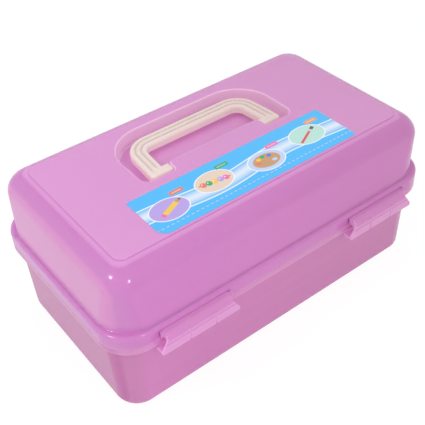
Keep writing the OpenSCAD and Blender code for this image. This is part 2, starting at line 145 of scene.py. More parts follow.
def span(side, x0, x1):
    """The stretch from x0 to x1 on one side of the box, lowest first."""
    return sorted((side * x0, side * x1))


def rod(bm, y, z, r, x0, x1):
    """Closed cylinder along X."""
    place = Matrix.Translation(((x0 + x1) / 2, y, z)) @ Matrix.Rotation(math.pi / 2, 4, "Y")
    bmesh.ops.create_cone(
        bm, cap_ends=True, segments=ROD_SEGMENTS, radius1=r, radius2=r, depth=x1 - x0, matrix=place
    )


def block(bm, low, high, rounding):
    """Closed box between two corners, with rounded edges."""
    low, high = Vector(low), Vector(high)
    place = Matrix.Translation((low + high) / 2) @ Matrix.Diagonal((*(high - low), 1.0))
    verts = bmesh.ops.create_cube(bm, size=1.0, matrix=place)["verts"]
    bmesh.ops.bevel(
        bm, geom=loop_edges(verts), offset=rounding, affect="EDGES", segments=3, profile=0.5,
        material=-1, clamp_overlap=True,
    )


def outline(bm, corners):
    """Flat face with round corners, from a list of x, y, z and radius."""
    verts = [bm.verts.new(corner[:3]) for corner in corners]
    bm.faces.new(verts)
    for v, corner in zip(verts, corners):
        bmesh.ops.bevel(
            bm, geom=[v], offset=corner[3], offset_type="OFFSET", affect="VERTICES", segments=8,
            profile=0.5, material=-1,
        )


print("rods have", ROD_SEGMENTS, "sides")

# %% [markdown]
# A finished mesh goes through the same last steps each time: double points are merged, the faces are
# turned outwards, edges sharper than a set angle stay crisp and the others are shaded smooth. The
# weighted normals keep large flat faces flat beside small round ones. The object stays at the origin,
# with its place in its mesh, because the frame's own nodes are made in that way.

# %% Finish a mesh
CRISP_ANGLE = math.radians(38)
MERGE_DISTANCE = 0.0005
FLAT_FACE_WEIGHT = 60


def finish_piece(bm, name, body, replaces, outward=True):
    """Makes an object from a bmesh in millimetres and puts it on its body."""
    bmesh.ops.remove_doubles(bm, verts=bm.verts, dist=MERGE_DISTANCE)
    if outward:
        bmesh.ops.recalc_face_normals(bm, faces=bm.faces)
    for face in bm.faces:
        face.smooth = True
    for edge in bm.edges:
        edge.smooth = edge.calc_face_angle(0) < CRISP_ANGLE
    bmesh.ops.scale(bm, vec=(MM, MM, MM), verts=bm.verts)
    mesh = bpy.data.meshes.new(name)
    bm.to_mesh(mesh)
    bm.free()
    piece = bpy.data.objects.new(name, mesh)
    scene.collection.objects.link(piece)
    weighted = piece.modifiers.new("flat faces stay flat", "WEIGHTED_NORMAL")
    weighted.keep_sharp = True
    weighted.weight = FLAT_FACE_WEIGHT
    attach(piece, body)
    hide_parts(replaces)
    print(name, "has", len(mesh.polygons), "faces")
    return piece


print("edges stay crisp above", round(math.degrees(CRISP_ANGLE)), "degrees")

# %% [markdown]
# ## Tub
# The tub is a deep drafted box. Its rim turns outwards and down again, which makes it stiff, and the
# skirt of the lid comes down to it. A low bead inside the skirt keeps the lid in place. The functions
# below give the size of one ring of the bottom edge, the wall, the rim or a small rounded edge.

# %% Tub sizes
BASE_X, BASE_Y, BASE_R = 157.5, 84.5, 20.5
BASE_EDGE, BASE_EDGE_CUTS = 8.5, 8
LEAN, CORNER_GROWTH = 2.6, 1.8
RECESS_X, RECESS_Y, RECESS_R, RECESS_H = 138, 66, 12, 0.8
LIP_H, LIP_T = 5.5, 1.8
RIM_FILLET, LIP_EDGE, RIM_EDGE = 0.8, 0.5, 0.4
BEAD_H, BEAD_EDGE = 2.2, 0.3


def wall_size(z, inset):
    """Ring of the tub wall at height z, inset from its outer face."""
    lean = LEAN * (z - BASE_EDGE) / (TUB_H - BASE_EDGE)
    return (BASE_X + lean - inset, BASE_Y + lean - inset, BASE_R + CORNER_GROWTH * lean - inset, z)


def plan_size(z, inset, r):
    """Ring at height z, inset from the outline of the rim, with a corner radius of its own."""
    return (RIM_HALF_X - inset, RIM_HALF_Y - inset, r, z)


def rim_size(z, inset):
    """Ring at height z that runs beside the outline of the rim."""
    return plan_size(z, inset, RIM_R - inset)


def bottom_sizes(inset):
    """Rings of the rounded bottom edge, from the ground up."""
    sizes = []
    for i in range(BASE_EDGE_CUTS + 1):
        angle = math.pi / 2 * i / BASE_EDGE_CUTS
        back = inset + (BASE_EDGE - inset) * (1 - math.sin(angle))
        up = inset + (BASE_EDGE - inset) * (1 - math.cos(angle))
        sizes.append((BASE_X - back, BASE_Y - back, BASE_R - back, up))
    return sizes


def quarter(size_at, z, inset, r, turn, cuts=4):
    """Rings of a rounded edge. turn gives its first and last angle: 0 is outwards and 90 is up."""
    angles = [math.radians(turn[0] + (turn[1] - turn[0]) * i / cuts) for i in range(cuts + 1)]
    return [size_at(z + r * math.sin(angle), inset - r * math.cos(angle)) for angle in angles]


print("tub wall at the rim:", [round(size, 2) for size in wall_size(TUB_H, 0)])

# %% [markdown]
# One closed loft runs round the section of the tub: over the shallow recess under the bottom, up the
# outside, under the rim, round its lip, over the top and the bead, and down the inside. Short steps
# round the lip's edges catch light as a moulded edge does.

# %% Tub shell
bm = bmesh.new()
recess = ((0, RECESS_H), (0.6, 0.2), (1.2, 0))
bead = (
    (0, 0.6), (BEAD_H - BEAD_EDGE, 0.9), (BEAD_H, 1.2), (BEAD_H, 1.8), (BEAD_H - BEAD_EDGE, WALL),
)
lip_foot = TUB_H - LIP_H + LIP_EDGE
sizes = [(RECESS_X + grow, RECESS_Y + grow, RECESS_R + grow, z) for grow, z in recess]
sizes += bottom_sizes(0)
sizes += [wall_size(TUB_H - WALL - RIM_FILLET, 0), wall_size(TUB_H - WALL, -RIM_FILLET)]
sizes += [rim_size(TUB_H - WALL, LIP_T), rim_size(lip_foot, LIP_T)]
sizes += quarter(rim_size, lip_foot, LIP_EDGE, LIP_EDGE, (-150, 0))
sizes += quarter(rim_size, TUB_H - RIM_EDGE, RIM_EDGE, RIM_EDGE, (0, 90))
sizes += [wall_size(TUB_H + up, inset) for up, inset in bead]
sizes += bottom_sizes(WALL)[::-1]
for open_loop in loft(bm, sizes):
    cap(bm, open_loop)
print("tub loft:", len(sizes), "rings")

# %% [markdown]
# Two pairs of knuckles stand at the back of the tub, each on a leaf that runs into the rim, and the
# knuckle of the lid turns between them. Inside, a boss on each end wall carries the peg that a link
# arm turns on. They are closed shapes that run into the shell, as the mould makes them one with it.

# %% Tub knuckles and arm bosses
HINGE_X = 95
LID_KNUCKLE, TUB_KNUCKLE, KNUCKLE_GAP = 24, 14, 0.4
LEAF_ROOT, LEAF_EDGE = 1.5, 0.3
ARM_Y, ARM_Z = 10, TUB_H - 3.7
ARM_X0, ARM_T, ARM_GAP = 152.3, 3.0, 0.4
CAP_T, PEG_R, PEG_END, LUG_R = 1.3, 2.0, 0.3, 4.2

first_knuckle = LID_KNUCKLE / 2 + KNUCKLE_GAP
for side in (-1, 1):
    for start in (first_knuckle, -first_knuckle - TUB_KNUCKLE):
        x0 = side * HINGE_X + start
        x1 = x0 + TUB_KNUCKLE
        rod(bm, AXIS_Y, TUB_H, KNUCKLE_R, x0, x1)
        leaf_top = (x1, AXIS_Y, TUB_H - 0.2)
        block(bm, (x0, RIM_HALF_Y - LEAF_ROOT, TUB_H - KNUCKLE_R), leaf_top, LEAF_EDGE)
for side in (-1, 1):
    in_wall = wall_size(ARM_Z, WALL)[0] + 0.6
    arm_back = ARM_X0 + ARM_T
    rod(bm, ARM_Y, ARM_Z, LUG_R, *span(side, arm_back + ARM_GAP, in_wall))
    rod(bm, ARM_Y, ARM_Z, PEG_R, *span(side, ARM_X0 - CAP_T - PEG_END, arm_back + 1))
tub_shell = finish_piece(bm, "tub_shell", "tub", "tub")

# %% [markdown]
# ## Lid
# The lid is one sheet of plastic, 2 mm thick: skirt, ledge, leaning wall, round shoulder, a small
# step, the flat panel and the pocket that the handle lies in. A loft gives all of it up to the edge
# of the panel. The shoulder is an arc that starts in line with the wall and ends a little before
# level, and its corners get tighter on the way in.

# %% Lid rings
SKIRT_GAP, SKIRT_H, SKIRT_EDGE = 0.2, 12.3, 3.4
SKIRT_FOOT, SKIRT_STRAIGHT = 0.2, 0.4
LEDGE_W, LEDGE_HOLLOW, HOLLOW_BACK = 3.6, 0.9, 0.3
LID_LEAN, WALL_R = 3.2, 30.5
SHOULDER_R, SHOULDER_DROP, SHOULDER_TOP_R = 18.3, 16.7, 19.0
BAND_SLOPE = math.radians(6.5)
PANEL_INSET, PANEL_R, PANEL_STEP = 24.6, 7.4, 0.8
HOLLOW_CUTS, SHOULDER_CUTS = 4, 12

LID_Z0 = TUB_H + SKIRT_GAP
LEDGE_Z = LID_Z0 + SKIRT_H
wall_inset = LEDGE_W + LID_LEAN
wall_top = TOP - PANEL_STEP - SHOULDER_DROP
wall_lean = math.atan(LID_LEAN / (wall_top - LEDGE_Z))
arc_in = wall_inset + SHOULDER_R * math.cos(wall_lean)
arc_z = wall_top - SHOULDER_R * math.sin(wall_lean)


def skirt_sizes():
    """Rings of the skirt, the ledge and the small hollow where the ledge meets the wall."""
    edge_z = LEDGE_Z - SKIRT_EDGE
    sizes = [rim_size(LID_Z0, SKIRT_FOOT), rim_size(LID_Z0 + SKIRT_FOOT, 0)]
    sizes.append(rim_size(edge_z - SKIRT_STRAIGHT, 0))
    sizes += quarter(rim_size, edge_z, SKIRT_EDGE, SKIRT_EDGE, (0, 90), 8)
    for i in range(HOLLOW_CUTS + 1):
        angle = math.pi / 2 * i / HOLLOW_CUTS
        inset = LEDGE_W + LEDGE_HOLLOW * (math.sin(angle) - 1) + HOLLOW_BACK
        sizes.append(plan_size(LEDGE_Z + LEDGE_HOLLOW * (1 - math.cos(angle)), inset, WALL_R))
    return sizes


def shoulder_sizes():
    """Rings of the round shoulder."""
    sizes = []
    for i in range(SHOULDER_CUTS + 1):
        angle = wall_lean + (math.pi / 2 - BAND_SLOPE - wall_lean) * i / SHOULDER_CUTS
        inset = arc_in - SHOULDER_R * math.cos(angle)
        share = (inset - wall_inset) / (PANEL_INSET - wall_inset)
        r = SHOULDER_TOP_R * (1 - share) + PANEL_R * share
        sizes.append(plan_size(arc_z + SHOULDER_R * math.sin(angle), inset, r))
    return sizes


def panel_edge_sizes():
    """Rings of the step up to the panel: a short hollow, then a rounded edge."""
    rises = ((0, 0.9), (0.1, 0.5), (0.35, 0.3), (0.6, 0.15), (0.75, -0.1), (PANEL_STEP, -0.5))
    return [plan_size(TOP - PANEL_STEP + up, PANEL_INSET - back, PANEL_R + back) for up, back in rises]


bm = bmesh.new()
loft(bm, skirt_sizes() + shoulder_sizes() + panel_edge_sizes())
print("lid loft:", len(bm.faces), "faces up to the panel")

# %% [markdown]
# The pocket is cut down from its own outline in the panel: a face with round corners is inset and
# lowered again and again, first round the lip, then straight down, then round the floor's edge. A
# boss stands between the arms of the handle. triangle_fill closes the panel between the pocket and
# the loft, and solidify gives the whole sheet its thickness.

# %% Handle pocket and lid sheet
POCKET_X, POCKET_BACK, POCKET_FRONT = 76.5, 60, -8
POCKET_DEPTH, POCKET_DRAFT = 13.5, 0.15
POCKET_LIP, POCKET_FILLET, POCKET_CUTS = 1.2, 2.0, 5
BOSS_X, BOSS_BACK = 47, 4.5
BOSS_BACK_R, BOSS_FRONT_R, FRONT_R, BACK_R = 5, 2.5, 8, 35


def pocket_corners(grow):
    """Corners of the handle pocket, its walls moved outwards by grow: x, y, z and radius."""
    half, boss, front = POCKET_X + grow, BOSS_X - grow, POCKET_FRONT - grow
    right = [
        (boss, BOSS_BACK - grow, TOP, BOSS_BACK_R - grow),
        (boss, front, TOP, BOSS_FRONT_R + grow),
        (half, front, TOP, FRONT_R + grow),
        (half, POCKET_BACK + grow, TOP, BACK_R + grow),
    ]
    return right + [(-x, y, z, r) for x, y, z, r in right[::-1]]


def step_down(bm, face, inwards, down):
    """Insets a face and lowers it, so that a rim of sloping faces is left round it."""
    bmesh.ops.inset_region(
        bm, faces=[face], use_boundary=True, use_even_offset=True, thickness=inwards, depth=0
    )
    bmesh.ops.translate(bm, verts=face.verts, vec=(0, 0, -down))


def rounded_steps(r, cuts):
    """Steps (inwards, down) along a quarter circle that starts level and ends upright."""
    angles = [math.pi / 2 * i / cuts for i in range(cuts + 1)]
    return [
        (r * (math.sin(after) - math.sin(before)), r * (math.cos(before) - math.cos(after)))
        for before, after in zip(angles, angles[1:])
    ]


outline(bm, pocket_corners(POCKET_LIP))
pocket = max(bm.faces, key=lambda face: len(face.verts))
for inwards, down in rounded_steps(POCKET_LIP, POCKET_CUTS):
    step_down(bm, pocket, inwards, down)
step_down(bm, pocket, POCKET_DRAFT, POCKET_DEPTH - POCKET_LIP - POCKET_FILLET)
for down, inwards in rounded_steps(POCKET_FILLET, POCKET_CUTS):
    step_down(bm, pocket, inwards, down)
panel_rims = [e for e in bm.edges if e.is_boundary and min(v.co.z for v in e.verts) > TOP - 0.01]
bmesh.ops.triangle_fill(bm, use_beauty=True, edges=panel_rims, normal=(0, 0, 1))
bmesh.ops.recalc_face_normals(bm, faces=bm.faces)
bmesh.ops.solidify(bm, geom=bm.faces[:], thickness=WALL)
print("lid sheet:", len(bm.faces), "faces, pocket floor at", round(min(v.co.z for v in pocket.verts), 2))

# %% [markdown]
# Blocks and bosses are moulded on the sheet: the hinge leaf and knuckle at the back, two cheeks beside
# each latch, the bosses that carry the trays, and the sockets that the handle's stubs turn in. Each
# runs into the sheet. The normals aren't worked out again here, because the sheet has two faces and
# its own already point away from the plastic.

# %% Lid: knuckles, cheeks and bosses
LATCH_X0, LATCH_X1, LATCH_TAPER = 60, 132.3, 6
LATCH_Y, LATCH_Z = -(RIM_HALF_Y + 1.6), LEDGE_Z - 6.6
LATCH_BAR = 2.6
CHEEK, CHEEK_GAP = 2.3, 0.3
CHEEK_EDGE = 0.2
LINK_BACK, LINK_UP = 33, 8
HANDLE_Y, HANDLE_Z = 0.8, TOP - 6
SOCKET_R, SOCKET_LEN = 3.4, 7

lower_rear = (AXIS_Y - LINK_BACK, TUB_H + LINK_UP)
upper_rear = (AXIS_Y - 2 * LINK_BACK, TUB_H + 2 * LINK_UP)
cheek_starts = (LATCH_X0 + LATCH_TAPER - CHEEK - CHEEK_GAP, LATCH_X1 - LATCH_TAPER + CHEEK_GAP)
for side in (-1, 1):
    x0, x1 = span(side, HINGE_X - LID_KNUCKLE / 2, HINGE_X + LID_KNUCKLE / 2)
    rod(bm, AXIS_Y, TUB_H, KNUCKLE_R, x0, x1)
    leaf_low = (x0, RIM_HALF_Y - LEAF_ROOT, TUB_H + 0.4)
    block(bm, leaf_low, (x1, AXIS_Y, TUB_H + KNUCKLE_R), LEAF_EDGE)
    for start in cheek_starts:
        x0, x1 = span(side, start, start + CHEEK)
        rod(bm, LATCH_Y, LATCH_Z, LATCH_BAR, x0, x1)
        in_skirt = (x1, LATCH_Y + 2.6, LATCH_Z + LATCH_BAR)
        block(bm, (x0, LATCH_Y, LATCH_Z - LATCH_BAR), in_skirt, CHEEK_EDGE)
    rod(bm, *lower_rear, LUG_R, *span(side, ARM_X0, RIM_HALF_X - WALL + 0.5))
    rod(bm, *upper_rear, LUG_R, *span(side, ARM_X0, RIM_HALF_X - LEDGE_W - WALL + 0.4))
    rod(bm, HANDLE_Y, HANDLE_Z, SOCKET_R, *span(side, BOSS_X - SOCKET_LEN, BOSS_X))
lid_shell = finish_piece(bm, "lid_shell", "lid", "lid", outward=False)

# %% [markdown]
# ## Handle
# The handle is one moulded bar, bent twice, with three low crowned ridges along its top. Its section
# is drawn between two points of the bar's plan, one on its outer edge and one on its inner edge. A
# crown is a parabola, so that it is round on top and meets its neighbour in a narrow groove. Each
# point also keeps how deep it lies in a groove, for the finish to paint shade into the grooves.

# %% Handle section
BAR_W, BAR_T, BAR_ROUND = 14.5, 9.0, 2.7
RIDGES, RIDGE_CUTS, ROUND_CUTS = 3, 24, 6
GROOVE, GROOVE_START, GROOVE_FADE = 1.2, 1.0, 6.0


def limited(share):
    """A share kept between 0 and 1."""
    return max(0.0, min(1.0, share))


def ridge_points(deep):
    """Points across the ridges on top of the bar, from its outer to its inner edge."""
    flat, high = BAR_W / 2 - BAR_ROUND, BAR_T / 2
    points = []
    for i in range(1, RIDGE_CUTS):
        across = flat * (1 - 2 * i / RIDGE_CUTS)
        place = (across / BAR_W + 0.5) * RIDGES
        sunk = deep * abs(2 * (place - math.floor(place)) - 1) ** 2
        points.append((across, high - sunk, sunk))
    return points


def bar_section(outer, inner):
    """Section between two points of the bar's edges: plan point, height and depth in a groove."""
    middle_y = (outer.y + inner.y) / 2
    deep = GROOVE * limited((middle_y - HANDLE_Y - GROOVE_START) / GROOVE_FADE)
    flat, high = BAR_W / 2 - BAR_ROUND, BAR_T / 2
    points = []
    for side, up, start in ((1, -1, -90), (1, 1, 0), (-1, 1, 90), (-1, -1, 180)):
        if (side, up) == (-1, 1):
            points += ridge_points(deep)
        for i in range(ROUND_CUTS + 1):
            angle = math.radians(start + 90 / ROUND_CUTS * i)
            across = side * flat + BAR_ROUND * math.cos(angle)
            points.append((across, up * (high - BAR_ROUND) + BAR_ROUND * math.sin(angle), 0.0))
    return [(inner.lerp(outer, across / BAR_W + 0.5), z, sunk) for across, z, sunk in points]


print("section of", 4 * (ROUND_CUTS + 1) + RIDGE_CUTS - 1, "points")

# %% [markdown]
# Copies of the section stand along the bar, and bridge_loops makes the skin from one to the next. The
# arm flares outwards, and at its foot the outer and the inner edge turn about points of their own, so
# each edge is followed by itself. Only the right half is worked out: the left half is its mirror
# image, in reverse order.

# %% Handle bar
GRIP_Y, BEND_R, BEND_CUTS = 42.0, 15.5, 18
FLARE = math.radians(5)
ARM_CUTS = 6
FOOT_X, FOOT_W, FOOT_CUTS = 59.7, 9.0, 8
FOOT_OUTER_R, FOOT_INNER_R = 3.5, 1.0
SOCKET_GAP = 0.4
STUB_R, STUB_IN, STUB_OUT = 2.0, 5.7, 2.0

arm_line = FOOT_X * math.cos(FLARE) + HANDLE_Y * math.sin(FLARE)


def on_arm(distance, y):
    """Point at height y of the line that runs along the arm, at a distance from the origin."""
    return Vector(((distance - y * math.sin(FLARE)) / math.cos(FLARE), y))


def along(angle):
    """Direction at an angle from the X axis."""
    return Vector((math.cos(angle), math.sin(angle)))


foot_front, foot_rear = HANDLE_Y - FOOT_W / 2, HANDLE_Y + FOOT_W / 2
outer_turn = on_arm(arm_line + BAR_W / 2 - FOOT_OUTER_R, foot_front + FOOT_OUTER_R)
inner_turn = on_arm(arm_line - BAR_W / 2 - FOOT_INNER_R, foot_rear + FOOT_INNER_R)
bend_turn = on_arm(arm_line - BEND_R, GRIP_Y - BEND_R)
half_bar = [(Vector((BOSS_X + SOCKET_GAP, foot_front)), Vector((BOSS_X + SOCKET_GAP, foot_rear)))]
for i in range(FOOT_CUTS + 1):
    turn = along(-math.pi / 2 + (math.pi / 2 + FLARE) * i / FOOT_CUTS)
    half_bar.append((outer_turn + FOOT_OUTER_R * turn, inner_turn + FOOT_INNER_R * turn))
bend = []
for i in range(BEND_CUTS + 1):
    turn = along(FLARE + (math.pi / 2 - FLARE) * i / BEND_CUTS)
    bend.append((bend_turn + (BEND_R + BAR_W / 2) * turn, bend_turn + (BEND_R - BAR_W / 2) * turn))
foot_top = half_bar[-1]
for i in range(1, ARM_CUTS):
    half_bar.append(tuple(low.lerp(high, i / ARM_CUTS) for low, high in zip(foot_top, bend[0])))
half_bar += bend
mirrored = [(Vector((-a.x, a.y)), Vector((-b.x, b.y))) for a, b in reversed(half_bar)]

bm = bmesh.new()
sunk_layer = bm.verts.layers.float.new("groove")
loops = []
for outer, inner in half_bar + mirrored:
    verts = []
    for point, z, sunk in bar_section(outer, inner):
        verts.append(bm.verts.new((point.x, point.y, HANDLE_Z + z)))
        verts[-1][sunk_layer] = sunk / GROOVE
    loops.append([bm.edges.new(pair) for pair in zip(verts, verts[1:] + verts[:1])])
for low, high in zip(loops, loops[1:]):
    bmesh.ops.bridge_loops(bm, edges=low + high)
cap(bm, loops[0])
cap(bm, loops[-1])
for side in (-1, 1):
    rod(bm, HANDLE_Y, HANDLE_Z, STUB_R, *span(side, BOSS_X - STUB_IN, BOSS_X + STUB_OUT))
handle_bar = finish_piece(bm, "handle_bar", "handle", "handle")

# %% [markdown]
# ## Latches
# Each latch is a long flap that hangs from a round bar at the edge of the lid. Its upper part is a
# quarter-round shell: a short line is swept round the arc by spin, drawn on down towards the lip, and
# then the whole section is extruded along the box.

# %% Latch shell
ARC_Y, ARC_Z = -(RIM_HALF_Y + 0.6), TUB_H + 0.2
OUT_R, LATCH_WALL, SHELL_EDGE = 7.8, 2.0, 0.35
ROOF_IN = 0.5
LIP_LOW, LIP_TOP = 71, TUB_H - 0.5


def shift(bm, geom, vec):
    """Moves the vertices among some newly made geometry."""
    bmesh.ops.translate(bm, verts=[g for g in geom if isinstance(g, bmesh.types.BMVert)], vec=vec)


def add_shell(bm):
    """The quarter-round shell, with its sharp edges rounded."""
    ends = [bm.verts.new((LATCH_X0, ARC_Y, ARC_Z + r)) for r in (OUT_R, OUT_R - LATCH_WALL)]
    line = bm.edges.new(ends)
    roof = bmesh.ops.extrude_edge_only(bm, edges=[line])["geom"]
    shift(bm, roof, (0, ROOF_IN, 0))
    swept = bmesh.ops.spin(
        bm, geom=[line], cent=(0, ARC_Y, ARC_Z), axis=(1, 0, 0), angle=math.pi / 2, steps=12,
        use_duplicate=False,
    )["geom_last"]
    foot = next(g for g in swept if isinstance(g, bmesh.types.BMEdge))
    down = bmesh.ops.extrude_edge_only(bm, edges=[foot])["geom"]
    shift(bm, down, (0, 0, LIP_TOP - ARC_Z))
    length = bmesh.ops.extrude_face_region(bm, geom=bm.faces[:], use_keep_orig=True)["geom"]
    shift(bm, length, (LATCH_X1 - LATCH_X0, 0, 0))
    bmesh.ops.recalc_face_normals(bm, faces=bm.faces)
    sharp = [e for e in bm.edges if e.calc_face_angle(0) > math.radians(60)]
    bmesh.ops.bevel(
        bm, geom=sharp, offset=SHELL_EDGE, affect="EDGES", segments=2, profile=0.5, material=-1,
        clamp_overlap=True,
    )


print("latch shell stands out to", round(ARC_Y - OUT_R, 2))

# %% [markdown]
# Below the shell hangs a straight finger lip. Two narrow slits part it into three tongues, and a strip
# behind them keeps the slits from showing the tub. Each tongue has a ridge on its inner side, just
# below the rim. The ends of the latch lean inwards towards the bar.

# %% Latch lip
SLITS = (82.7, 107)
SLIT_W, SLIT_DEPTH = 1.2, 0.9
LIP_PROUD, LIP_ROUND = 0.4, 0.45
RIDGE_LOW, RIDGE_HIGH, RIDGE_GAP = 0.6, 2.4, 0.35
SMALL_EDGE = 0.2
TAPER_Z = (TUB_H - 5.7, TUB_H + 3.3)
END_ZONE = 3


def add_lip(bm):
    """Three tongues, the ridge inside each, and the strip that backs the slits."""
    cuts = [LATCH_X0] + [slit + d * SLIT_W / 2 for slit in SLITS for d in (-1, 1)] + [LATCH_X1]
    face_y = ARC_Y - OUT_R
    back_y = face_y + LATCH_WALL
    for x0, x1 in zip(cuts[::2], cuts[1::2]):
        block(bm, (x0, face_y - LIP_PROUD, LIP_LOW), (x1, back_y, LIP_TOP + 0.4), LIP_ROUND)
        ridge_end = (x1, -RIM_HALF_Y - RIDGE_GAP, LIP_LOW + RIDGE_HIGH)
        block(bm, (x0, face_y + 0.5, LIP_LOW + RIDGE_LOW), ridge_end, SMALL_EDGE)
    strip_low = (LATCH_X0 + 0.5, face_y - LIP_PROUD + SLIT_DEPTH, LIP_LOW + 0.4)
    block(bm, strip_low, (LATCH_X1 - 0.5, back_y, LIP_TOP), SMALL_EDGE)


def lean_ends(bm):
    """Pulls the two ends of a straight flap inwards between the two heights of the taper."""
    middle, half = (LATCH_X0 + LATCH_X1) / 2, (LATCH_X1 - LATCH_X0) / 2
    for z in TAPER_Z:
        everything = bm.verts[:] + bm.edges[:] + bm.faces[:]
        bmesh.ops.bisect_plane(bm, geom=everything, plane_co=(0, 0, z), plane_no=(0, 0, 1))
    for v in bm.verts:
        share = limited((v.co.z - TAPER_Z[0]) / (TAPER_Z[1] - TAPER_Z[0]))
        if abs(v.co.x - middle) > half - END_ZONE:
            v.co.x -= math.copysign(LATCH_TAPER * share, v.co.x - middle)


print("tongues:", len(SLITS) + 1)

# %% [markdown]
# A web at each end closes the hollow between the shell and the bar. The bar fills the room between
# the two cheeks of the lid, its thin stubs turn in them, and a small bump sits above each slit. The
# left latch is the right one scaled by -1, so its normals are worked out again.

# %% Latch ends, bar and bumps
WEB_ARC, WEB_CUTS = (92, 172), 10
WEB_T, WEB_IN, WEB_BACK = 1.0, 0.3, 0.5
BAR_SLIM, BAR_OVER, LATCH_STUB_R = 0.5, 0.25, 1.3
BUMP_R, BUMP_UP, BUMP_IN = 1.8, math.radians(12), 0.9


def add_web(bm, x, inwards):
    """One web across the end of the shell: an arc, then straight down to a level edge."""
    r, low = OUT_R - WEB_BACK, TAPER_Z[1] - 2.6
    first, last = WEB_ARC
    angles = [math.radians(first + (last - first) * i / WEB_CUTS) for i in range(WEB_CUTS + 1)]
    edge = [(ARC_Y + r * math.cos(angle), ARC_Z + r * math.sin(angle)) for angle in angles]
    edge += [(ARC_Y - OUT_R + 1, low), (LATCH_Y + 0.9, low)]
    face = bm.faces.new([bm.verts.new((x + WEB_IN * inwards, y, z)) for y, z in edge])
    thick = bmesh.ops.extrude_face_region(bm, geom=[face], use_keep_orig=True)["geom"]
    shift(bm, thick, (WEB_T * inwards, 0, 0))


def latch_piece(name, side):
    """A whole latch on one side of the box."""
    bm = bmesh.new()
    add_shell(bm)
    add_lip(bm)
    lean_ends(bm)
    x0, x1 = LATCH_X0 + LATCH_TAPER, LATCH_X1 - LATCH_TAPER
    add_web(bm, x0, 1)
    add_web(bm, x1, -1)
    rod(bm, LATCH_Y, LATCH_Z, LATCH_BAR - BAR_SLIM, x0 - BAR_OVER, x1 + BAR_OVER)
    rod(bm, LATCH_Y, LATCH_Z, LATCH_STUB_R, x0 - CHEEK, x1 + CHEEK)
    reach = OUT_R - BUMP_IN
    for x in SLITS:
        middle = (x, ARC_Y - reach * math.cos(BUMP_UP), ARC_Z + reach * math.sin(BUMP_UP))
        place = Matrix.Translation(middle)
        bmesh.ops.create_uvsphere(bm, u_segments=24, v_segments=14, radius=BUMP_R, matrix=place)
    if side < 0:
        bmesh.ops.scale(bm, vec=(-1, 1, 1), verts=bm.verts)
        bmesh.ops.recalc_face_normals(bm, faces=bm.faces)
    node = "latch_right" if side > 0 else "latch_left"
    return finish_piece(bm, name, node, node)


latch_flaps = [latch_piece("latch_flap_left", -1), latch_piece("latch_flap_right", 1)]

# %% [markdown]
# ## Finishes
# Shader maths reads best as plain expressions. The small class below wraps a socket, so that
# mask * 0.5 + 0.2 adds its own Math nodes.

# %% Shader expressions
SOFTNESS = 0.1


def add_math(tree, operation, values, clamp=False):
    """Adds a Math node over wires and plain numbers. Returns its result as a wire."""
    node = tree.nodes.new("ShaderNodeMath")
    node.operation = operation
    node.use_clamp = clamp
    for socket, value in zip(node.inputs, values):
        if isinstance(value, Wire):
            tree.links.new(value.socket, socket)
        else:
            socket.default_value = value
    return Wire(tree, node.outputs[0])


class Wire:
    """A socket whose arithmetic adds Math nodes."""

    def __init__(self, tree, socket):
        self.tree, self.socket = tree, socket

    def math(self, operation, *others, clamp=False):
        """Result of a Math node whose first value is this one."""
        return add_math(self.tree, operation, (self, *others), clamp)

    def __add__(self, other):
        return self.math("ADD", other)

    def __sub__(self, other):
        return self.math("SUBTRACT", other)

    def __mul__(self, other):
        return self.math("MULTIPLY", other)

    def __truediv__(self, other):
        return self.math("DIVIDE", other)

    def __rsub__(self, other):
        return add_math(self.tree, "SUBTRACT", (other, self))

    def __abs__(self):
        return self.math("ABSOLUTE")

    __radd__, __rmul__ = __add__, __mul__

    def clamped(self):
        """The value kept between 0 and 1."""
        return self.math("ADD", 0.0, clamp=True)

    def smooth(self, low, high):
        """0 at low and 1 at high, with a soft start and end. low may be the larger one."""
        share = (self - low) / (high - low)
        return share.math("SMOOTH_MAX", 0.0, SOFTNESS).math("SMOOTH_MIN", 1.0, SOFTNESS)


print("wires add Math nodes")

# %% [markdown]
# A finish is a material with one Principled shader. One method adds any other node, sets it up and
# feeds its sockets, and a few short ones build on it: noise, a mix of two colours and a bump. Patterns
# read object coordinates, so they stay on the plastic when a piece moves.

